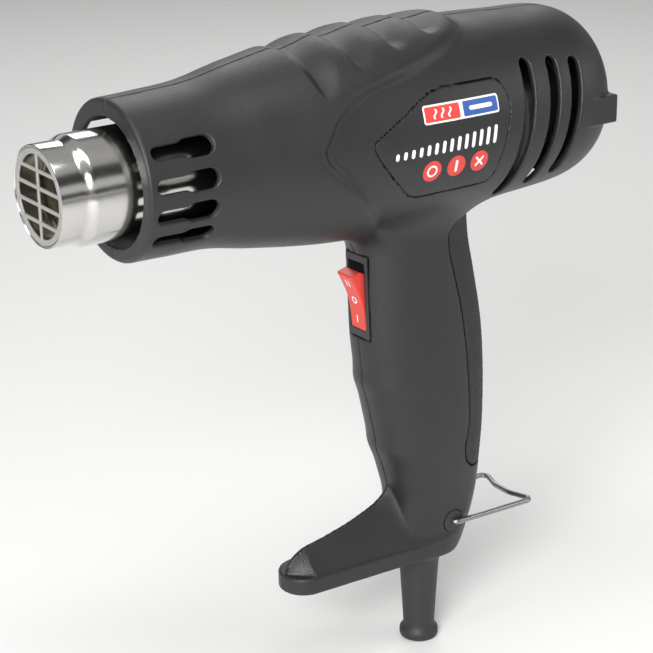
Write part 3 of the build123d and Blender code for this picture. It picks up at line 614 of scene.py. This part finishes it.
def field_piece(name, field, low, high, step, material):
    """A piece whose surface is a field's zero, its shading taken from the field's slope."""
    axes, values = sample(field, low, high, step)
    points, quads = surface_net(axes, values)
    for _ in range(2):
        value, slope = gradient(field, points)
        length = np.maximum((slope * slope).sum(axis=1), 0.2)
        move = slope * (value / length)[:, None]
        size = np.linalg.norm(move, axis=1, keepdims=True)
        points = points - move * np.minimum(1, 0.45 * step / np.maximum(size, 1e-9))
    value, slope = gradient(field, points)
    slope /= np.maximum(np.linalg.norm(slope, axis=1, keepdims=True), 1e-9)
    piece = mesh_object(name, points, quads, material)
    if len(piece.data.vertices) == len(slope):
        piece.data.normals_split_custom_set_from_vertices(slope.tolist())
    print(name, len(quads), "quads")
    return piece


def lathe(name, outline, material, axis="X", centre=(0, 0), turns=96):
    """A closed outline of (along, radius) turned about an axis."""
    points, faces = [], []
    for turn in range(turns):
        angle = 2 * math.pi * turn / turns
        for along, radius in outline:
            a, b = radius * math.cos(angle), radius * math.sin(angle)
            points.append((along, a, b) if axis == "X" else (centre[0] + a, centre[1] + b, along))
    count = len(outline)
    for turn in range(turns):
        here, after = turn * count, (turn + 1) % turns * count
        for i in range(count):
            j = (i + 1) % count
            faces.append((here + i, here + j, after + j, after + i))
    piece = mesh_object(name, points, faces, material)
    make_outward(piece)
    piece.data.set_sharp_from_angle(angle=math.radians(LATHE_SHARP_ANGLE))
    return piece


def make_outward(piece):
    """Turns all faces outward."""
    work = bmesh.new()
    work.from_mesh(piece.data)
    bmesh.ops.recalc_face_normals(work, faces=work.faces)
    work.to_mesh(piece.data)
    work.free()


def skin_point(field, u, v, place, near, far):
    """Where the skin is along each line: place gives a point for u, v and a depth from inside to outside."""
    low, high = np.full_like(u, near), np.full_like(u, far)
    for _ in range(26):
        middle = (low + high) / 2
        inside = field(*place(u, v, middle)) < 0
        low, high = np.where(inside, middle, low), np.where(inside, high, middle)
    return low


def printed(name, shape, low, high, step, field, place, reach, material, height):
    """A thin print lying on a skin, its top raised by height. The shape is negative inside it, place is as
    for skin_point, and reach is its near and far."""
    columns = np.arange(low[0], high[0] + step, step)
    rows = np.arange(low[1], high[1] + step, step)
    grid_u, grid_v = np.meshgrid(columns, rows, indexing="ij")
    flat, faces = contour_faces(grid_u, grid_v, shape(grid_u, grid_v))
    u, v = flat.T
    depth = skin_point(field, u, v, place, *reach)
    top = np.stack(place(u, v, depth + height), axis=1)
    bottom = np.stack(place(u, v, depth + height - PRINT_THICKNESS), axis=1)
    count = len(flat)
    edges = {}
    for face in faces:
        for a, b in zip(face, face[1:] + face[:1]):
            if (b, a) in edges:
                del edges[(b, a)]
            else:
                edges[(a, b)] = True
    walls = [(a, b, b + count, a + count) for a, b in edges]
    under = [tuple(i + count for i in reversed(face)) for face in faces]
    piece = mesh_object(name, np.concatenate([top, bottom]), faces + walls + under, material)
    make_outward(piece)
    piece.data.set_sharp_from_angle(angle=math.radians(PRINT_SHARP_ANGLE))
    return piece


def contour_faces(grid_x, grid_z, values):
    """Triangles and polygons covering where a sampled shape is negative, cut along its edge."""
    points, faces, known = [], [], {}

    def corner(i, j):
        if (i, j) not in known:
            known[(i, j)] = len(points)
            points.append((grid_x[i, j], grid_z[i, j]))
        return known[(i, j)]

    def crossing(first, second):
        key = (min(first, second), max(first, second))
        if key not in known:
            a, b = values[key[0]], values[key[1]]
            share = a / (a - b)
            known[key] = len(points)
            points.append((grid_x[key[0]] + share * (grid_x[key[1]] - grid_x[key[0]]),
                           grid_z[key[0]] + share * (grid_z[key[1]] - grid_z[key[0]])))
        return known[key]

    low = np.minimum.reduce([values[:-1, :-1], values[1:, :-1], values[:-1, 1:], values[1:, 1:]])
    for i, j in np.argwhere(low < 0):
        ring = [(i, j), (i + 1, j), (i + 1, j + 1), (i, j + 1)]
        face = []
        for here, after in zip(ring, ring[1:] + ring[:1]):
            if values[here] < 0:
                face.append(corner(*here))
            if (values[here] < 0) != (values[after] < 0):
                face.append(crossing(here, after))
        if len(face) > 2:
            faces.append(tuple(face))
    return np.array(points), faces


# ------------------------------------------------------------------------------------------
# Finishes: every one has a fine grain, a tone variation and a relief of its own

def finish(name, colour, rough, metallic=0.0, grain=0.4, relief=0.03, tone=0.15, uneven=0.1):
    """A material with noise in its tone, its roughness and its relief; grain and relief in millimetres."""
    material = bpy.data.materials.new(name)
    material.use_nodes = True
    nodes, links = material.node_tree.nodes, material.node_tree.links
    shader = nodes["Principled BSDF"]
    shader.inputs["Metallic"].default_value = metallic
    place = nodes.new("ShaderNodeTexCoord")
    fine = nodes.new("ShaderNodeTexNoise")
    fine.inputs["Scale"].default_value = 1 / (grain * MM)
    fine.inputs["Detail"].default_value = 3
    links.new(place.outputs["Object"], fine.inputs["Vector"])
    broad = nodes.new("ShaderNodeTexNoise")
    broad.inputs["Scale"].default_value = 70
    broad.inputs["Detail"].default_value = 6
    links.new(place.outputs["Object"], broad.inputs["Vector"])
    mixed = nodes.new("ShaderNodeMix")
    mixed.data_type = "RGBA"
    darker = [channel * (1 - tone) for channel in colour]
    lighter = [min(1, channel * (1 + tone)) for channel in colour]
    mixed.inputs["A"].default_value = (*darker, 1)
    mixed.inputs["B"].default_value = (*lighter, 1)
    blend = nodes.new("ShaderNodeMath")
    blend.operation = "MULTIPLY_ADD"
    blend.inputs[1].default_value = 0.5
    links.new(fine.outputs["Fac"], blend.inputs[0])
    half = nodes.new("ShaderNodeMath")
    half.operation = "MULTIPLY"
    half.inputs[1].default_value = 0.5
    links.new(broad.outputs["Fac"], half.inputs[0])
    links.new(half.outputs["Value"], blend.inputs[2])
    links.new(blend.outputs["Value"], mixed.inputs["Factor"])
    links.new(mixed.outputs["Result"], shader.inputs["Base Color"])
    spread = nodes.new("ShaderNodeMapRange")
    spread.inputs["To Min"].default_value = max(0.02, rough - uneven)
    spread.inputs["To Max"].default_value = min(1, rough + uneven)
    links.new(broad.outputs["Fac"], spread.inputs["Value"])
    links.new(spread.outputs["Result"], shader.inputs["Roughness"])
    bump = nodes.new("ShaderNodeBump")
    bump.inputs["Strength"].default_value = 1
    bump.inputs["Distance"].default_value = relief * MM
    links.new(fine.outputs["Fac"], bump.inputs["Height"])
    links.new(bump.outputs["Normal"], shader.inputs["Normal"])
    return material


PLASTIC = finish("housing_plastic", (0.014, 0.0145, 0.0145), 0.42, grain=0.5, relief=0.16, tone=0.35)
RUBBER = finish("grip_rubber", (0.010, 0.010, 0.0105), 0.52, grain=0.3, relief=0.08)
PANEL = finish("label_plastic", (0.015, 0.0155, 0.0155), 0.42, grain=0.4, relief=0.06)
CHROME = finish("nozzle_chrome", (0.60, 0.59, 0.57), 0.16, 1.0, grain=1.6, relief=0.012, tone=0.12,
                uneven=0.07)
GRILLE = finish("grille_steel", (0.40, 0.40, 0.39), 0.50, 0.55, grain=0.5, relief=0.02)
SWITCH_BLACK = finish("switch_black", (0.020, 0.020, 0.022), 0.38, grain=0.3, relief=0.01)
SWITCH_RED = finish("rocker_red", (0.62, 0.045, 0.03), 0.34, grain=0.5, relief=0.004, tone=0.06, uneven=0.06)
BOOT = finish("boot_rubber", (0.022, 0.022, 0.023), 0.55, grain=0.4, relief=0.03)
BUSH = finish("bush_plastic", (0.020, 0.020, 0.022), 0.48, grain=0.4, relief=0.02)
BAIL_STEEL = finish("bail_steel", (0.30, 0.30, 0.31), 0.26, 1.0, grain=1.2, relief=0.006, tone=0.05)
SCREW_STEEL = finish("screw_steel", (0.42, 0.42, 0.43), 0.32, 1.0, grain=0.6, relief=0.01)
WHITE_PRINT = finish("white_print", (0.80, 0.80, 0.79), 0.5, grain=0.3, relief=0.006, tone=0.05)
RED_PRINT = finish("red_print", (0.62, 0.05, 0.04), 0.45, grain=0.3, relief=0.006, tone=0.07)
BLUE_PRINT = finish("blue_print", (0.03, 0.09, 0.32), 0.45, grain=0.3, relief=0.006, tone=0.07)
INNER = {
    "mica": finish("mica", (0.55, 0.50, 0.40), 0.4, grain=2, relief=0.02),
    "heating_wire": finish("heating_wire", (0.32, 0.28, 0.24), 0.4, 0.9, grain=0.6),
    "phenolic": finish("phenolic", (0.16, 0.09, 0.05), 0.5, grain=0.8),
    "duct_plastic": finish("duct_plastic", (0.07, 0.07, 0.075), 0.5, grain=0.6),
    "motor_steel": finish("motor_steel", (0.45, 0.45, 0.46), 0.32, 1.0, grain=0.8, relief=0.01),
    "magnet_ferrite": finish("magnet_ferrite", (0.07, 0.07, 0.07), 0.6, grain=0.4),
    "bearing_bronze": finish("bearing_bronze", (0.45, 0.28, 0.12), 0.35, 1.0, grain=0.4),
    "brush_carbon": finish("brush_carbon", (0.03, 0.03, 0.03), 0.5, grain=0.3),
    "shaft_steel": finish("shaft_steel", (0.60, 0.60, 0.61), 0.2, 1.0, grain=0.7, relief=0.006),
    "lamination_steel": finish("lamination_steel", (0.28, 0.28, 0.29), 0.4, 0.9, grain=0.5),
    "copper_wire": finish("copper_wire", (0.62, 0.26, 0.12), 0.3, 1.0, grain=0.5),
    "fan_plastic": finish("fan_plastic", (0.30, 0.30, 0.28), 0.45, grain=0.6),
    "terminal_brass": finish("terminal_brass", (0.60, 0.45, 0.18), 0.3, 1.0, grain=0.5),
    "board_green": finish("board_green", (0.03, 0.16, 0.06), 0.4, grain=0.8),
    "diode_black": finish("diode_black", (0.03, 0.03, 0.03), 0.35, grain=0.3),
    "capacitor_yellow": finish("capacitor_yellow", (0.60, 0.42, 0.05), 0.4, grain=0.5),
    "terminal_nylon": finish("terminal_nylon", (0.55, 0.54, 0.50), 0.45, grain=0.6),
    "lead_insulation": finish("lead_insulation", (0.35, 0.05, 0.04), 0.45, grain=0.5),
    "screw_steel": SCREW_STEEL,
    "bush_plastic": BUSH,
    "bail_steel": BAIL_STEEL,
    "nozzle_chrome": CHROME,
}


def hold(piece, body, slot, *nodes):
    """Puts a finished piece on its body in place of CAD nodes."""
    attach(piece, body)
    if nodes:
        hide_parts(*nodes)


# ------------------------------------------------------------------------------------------
# The pieces

def housing():
    for side, name in ((-1, "left_shell"), (1, "right_shell")):
        low = (26, -43, -180) if side < 0 else (26, -1, -180)
        high = (245, 1, 43) if side < 0 else (245, 43, 43)
        shell = field_piece(name + "_skin", half_field(side), low, high, HOUSING_STEP, PLASTIC)
        hold(shell, "root", "housing_plastic", name)


def label_plates():
    for side, name in ((-1, "left_label_plate"), (1, "right_label_plate")):
        low = (110, -43, -20) if side < 0 else (110, 20, -20)
        high = (176, -20, 24) if side < 0 else (176, 43, 24)
        plate = field_piece(name + "_skin", label_plate_field(side), low, high, 0.4, PANEL)
        hold(plate, "root", "label_plastic", name)


def grip():
    pad = field_piece("soft_grip_skin", grip_pad_field, (161, -19, -144), (190, 19, -27), GRIP_STEP, RUBBER)
    hold(pad, "root", "grip_rubber", "soft_grip")


def switch():
    body = field_piece("switch_body_skin", switch_field, (127, -8, -82), (154, 8, -45), 0.4, SWITCH_BLACK)
    hold(body, "root", "switch_black", "switch_body")
    key = field_piece("rocker_skin", rocker_field, (120, -6, -79), (144, 6, -48), 0.35, SWITCH_RED)
    hold(key, "rocker", "rocker_red", "rocker")


def nozzle():
    outer = [(0.45, TUBE_FRONT_R - 0.55), (0.0, TUBE_FRONT_R - 0.35), (0.12, TUBE_FRONT_R - 0.08),
             (0.5, TUBE_FRONT_R)]
    for i in range(13):
        share = i / 12
        ease = share * share * (3 - 2 * share)
        outer.append((SPIGOT_LENGTH + share * SHOULDER_LENGTH,
                      TUBE_FRONT_R + ease * (TUBE_REAR_R - TUBE_FRONT_R)))
    inner = [(x, radius - TUBE_WALL) for x, radius in reversed(outer[3:])]
    outline = outer + [(TUBE_END, TUBE_REAR_R), (TUBE_END, TUBE_REAR_R - TUBE_WALL)] + inner
    tube = lathe("nozzle_tube_skin", outline, CHROME, turns=160)
    hold(tube, "root", "nozzle_chrome", "nozzle_tube")
    guard = field_piece("nozzle_grille_skin", grille_field, (-1, -18, -18), (2, 18, 18), 0.25, GRILLE)
    hold(guard, "root", "grille_steel", "nozzle_grille")


def cord_boot():
    boot = lathe("cord_boot_skin", BOOT_OUTLINE, BOOT, axis="Z", centre=(BOOT_X, 0))
    hold(boot, "root", "boot_rubber", "cord_boot")


# Prints: shapes in side view, negative inside

def rounded_rectangle(x, z, middle, half, radius):
    dx, dz = np.abs(x - middle[0]) - half[0] + radius, np.abs(z - middle[1]) - half[1] + radius
    outside = np.sqrt(np.maximum(dx, 0) ** 2 + np.maximum(dz, 0) ** 2)
    return outside + np.minimum(np.maximum(dx, dz), 0) - radius


def stroke(x, z, start, end, radius):
    """A straight stroke with round ends."""
    span = (end[0] - start[0], end[1] - start[1])
    square = span[0] ** 2 + span[1] ** 2
    along = np.clip(((x - start[0]) * span[0] + (z - start[1]) * span[1]) / square, 0, 1)
    return np.sqrt((x - start[0] - along * span[0]) ** 2 + (z - start[1] - along * span[1]) ** 2) - radius


def disc(x, z, middle, radius):
    return np.sqrt((x - middle[0]) ** 2 + (z - middle[1]) ** 2) - radius


def on_side(side):
    """Lines along Y, for prints on the label panel."""
    return lambda x, z, depth: (x, side * depth, z)


def on_rocker(y, height, out):
    """Lines outward from the rocker's pivot, for the marks on its face."""
    turn = math.radians(SWITCH_TILT - ROCKER_TILT)
    pivot_tilt = math.radians(SWITCH_TILT)
    pivot_x = SWITCH_AT[0] + ROCKER_PIVOT_DEPTH * math.cos(pivot_tilt)
    pivot_z = SWITCH_AT[1] - ROCKER_PIVOT_DEPTH * math.sin(pivot_tilt)
    x = pivot_x - out * math.cos(turn) + height * math.sin(turn)
    z = pivot_z + out * math.sin(turn) + height * math.cos(turn)
    return x, y, z


def badge(x, z):
    return rounded_rectangle(x, z, (151.0, BADGE_Z), (16.8, 3.3), 1.0)


def badge_red(x, z):
    return rounded_rectangle(x, z, (142.4, BADGE_Z), (7.6, 2.65), 0.6)


def badge_blue(x, z):
    return rounded_rectangle(x, z, (159.4, BADGE_Z), (7.8, 2.65), 0.6)


def badge_waves(x, z):
    """Three rising heat waves on the red field and a bar on the blue one."""
    waves = stroke(x, z, (155, BADGE_Z), (164, BADGE_Z), 0.75)
    for middle in (139.2, 142.4, 145.6):
        sway = middle + 0.6 * np.sin((z - BADGE_Z) * 1.7)
        waves = np.minimum(waves, np.maximum(np.abs(x - sway) - 0.4, np.abs(z - BADGE_Z) - 1.75))
    return waves


def heat_scale(x, z):
    """A row of bars growing towards the hot end."""
    bars = 1e3
    for i in range(HEAT_BARS):
        height = 1.2 + 4.2 * i / (HEAT_BARS - 1)
        foot = (122.2 + 3.3 * i, -0.2)
        bars = np.minimum(bars, stroke(x, z, foot, (foot[0] + 0.12 * height, foot[1] + height), 0.72))
    return bars


def warning_discs(x, z):
    discs = 1e3
    for middle in DISCS:
        discs = np.minimum(discs, disc(x, z, middle, 4.0))
    return discs


def disc_marks(x, z):
    """Plain marks on the discs: a ring, a bar and a cross."""
    ring = np.abs(disc(x, z, DISCS[0], 1.9)) - 0.35
    (bar_x, bar_z), (cross_x, cross_z) = DISCS[1:]
    bar = stroke(x, z, (bar_x, bar_z - 1.8), (bar_x, bar_z + 1.8), 0.55)
    rising = stroke(x, z, (cross_x - 1.5, cross_z - 1.5), (cross_x + 1.5, cross_z + 1.5), 0.4)
    falling = stroke(x, z, (cross_x - 1.5, cross_z + 1.5), (cross_x + 1.5, cross_z - 1.5), 0.4)
    return np.minimum(np.minimum(ring, bar), np.minimum(rising, falling))


def rocker_marks(y, height):
    """II at the top, O in the middle and I at the bottom."""
    marks = np.abs(disc(y, height, (0, 0), 1.25)) - 0.28
    for across in (-0.9, 0.9):
        marks = np.minimum(marks, stroke(y, height, (across, 6.6), (across, 9.2), 0.28))
    return np.minimum(marks, stroke(y, height, (0, -9.2), (0, -6.6), 0.28))


def prints():
    layers = [("badge_border", badge, (133, 9), (169, 18), WHITE_PRINT, 0.01),
              ("badge_red", badge_red, (133, 9), (169, 18), RED_PRINT, 0.04),
              ("badge_blue", badge_blue, (133, 9), (169, 18), BLUE_PRINT, 0.04),
              ("badge_waves", badge_waves, (133, 9), (169, 18), WHITE_PRINT, 0.07),
              ("heat_scale", heat_scale, (120, -2), (168, 7), WHITE_PRINT, 0.01),
              ("warning_discs", warning_discs, (132, -12), (165, -2), RED_PRINT, 0.01),
              ("disc_marks", disc_marks, (132, -12), (165, -2), WHITE_PRINT, 0.04)]
    for side, word in ((-1, "left_"), (1, "right_")):
        for name, shape, low, high, material, height in layers:
            mark = printed(word + name, shape, low, high, 0.3, outside_field, on_side(side), (20, 44),
                           material, height)
            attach(mark, "root")
    marks = printed("rocker_marks", rocker_marks, (-3, -10), (3, 10), 0.18, rocker_field, on_rocker, (3, 12),
                    WHITE_PRINT, 0.02)
    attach(marks, "rocker")


def carried_over():
    """Finishes for the CAD nodes that show as they are, by the slot their material is named after."""
    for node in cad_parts.values():
        material = INNER.get(node.data.materials[0].name)
        if material:
            node.data.materials[0] = material


def build():
    housing()
    label_plates()
    grip()
    switch()
    nozzle()
    cord_boot()
    prints()
    carried_over()


# ------------------------------------------------------------------------------------------
# Floor, light and camera

def floor():
    mesh = bpy.data.meshes.new("floor")
    half, height = FLOOR_HALF, CAD_BOX[0][2]
    corners = [(-half, -half, height), (half, -half, height), (half, half, height), (-half, half, height)]
    mesh.from_pydata(corners, [], [(0, 1, 2, 3)])
    ground = bpy.data.objects.new("floor", mesh)
    mesh.materials.append(finish("floor", (0.82, 0.82, 0.81), 0.6, grain=3, relief=0.02, tone=0.01))
    bpy.context.collection.objects.link(ground)


def softbox(name, at, aim, size, power):
    lamp = bpy.data.lights.new(name, "AREA")
    lamp.shape = "RECTANGLE"
    lamp.size, lamp.size_y = size
    lamp.energy = power
    box = bpy.data.objects.new(name, lamp)
    box.location = at
    box.rotation_euler = (Vector(aim) - Vector(at)).to_track_quat("-Z", "Y").to_euler()
    bpy.context.collection.objects.link(box)


def lights():
    middle = (0.13, 0, -0.05)
    softbox("key", (-0.85, -0.80, 0.55), middle, (0.7, 0.5), 23)
    softbox("top", (-0.10, -0.25, 1.25), middle, (0.9, 0.5), 7)
    softbox("side", (1.15, -0.75, 0.45), middle, (0.4, 0.8), 3)
    softbox("rim", (0.75, 0.95, 0.75), middle, (0.8, 0.5), 4)
    world = bpy.data.worlds.new("surroundings")
    world.use_nodes = True
    nodes, links = world.node_tree.nodes, world.node_tree.links
    place = nodes.new("ShaderNodeTexCoord")
    split = nodes.new("ShaderNodeSeparateXYZ")
    bands = nodes.new("ShaderNodeValToRGB")
    for height, _ in SKY_BANDS[2:]:
        bands.color_ramp.elements.new(height)
    for stop, (height, grey) in zip(bands.color_ramp.elements, SKY_BANDS):
        stop.position = height
        stop.color = (grey, grey, grey, 1)
    links.new(place.outputs["Generated"], split.inputs["Vector"])
    links.new(split.outputs["Z"], bands.inputs["Fac"])
    links.new(bands.outputs["Color"], nodes["Background"].inputs["Color"])
    nodes["Background"].inputs["Strength"].default_value = 1.0
    bpy.context.scene.world = world


def camera():
    azimuth, elevation = math.radians(CAMERA_AZIMUTH), math.radians(CAMERA_ELEVATION)
    roll = math.radians(CAMERA_ROLL)
    ahead = Vector((math.cos(elevation) * math.sin(azimuth), math.cos(elevation) * math.cos(azimuth),
                    -math.sin(elevation)))
    level = Vector((math.cos(azimuth), -math.sin(azimuth), 0))
    upright = level.cross(ahead)
    right = level * math.cos(roll) + upright * math.sin(roll)
    up = upright * math.cos(roll) - level * math.sin(roll)
    lens = bpy.data.cameras.new("camera")
    lens.lens = CAMERA_LENS
    eye = bpy.data.objects.new("camera", lens)
    eye.matrix_world = Matrix.Translation(CAMERA_AT) @ Matrix((right, up, -ahead)).transposed().to_4x4()
    bpy.context.collection.objects.link(eye)
    bpy.context.scene.camera = eye


build()
floor()
lights()
camera()
bpy.context.scene.view_settings.view_transform = "Standard"
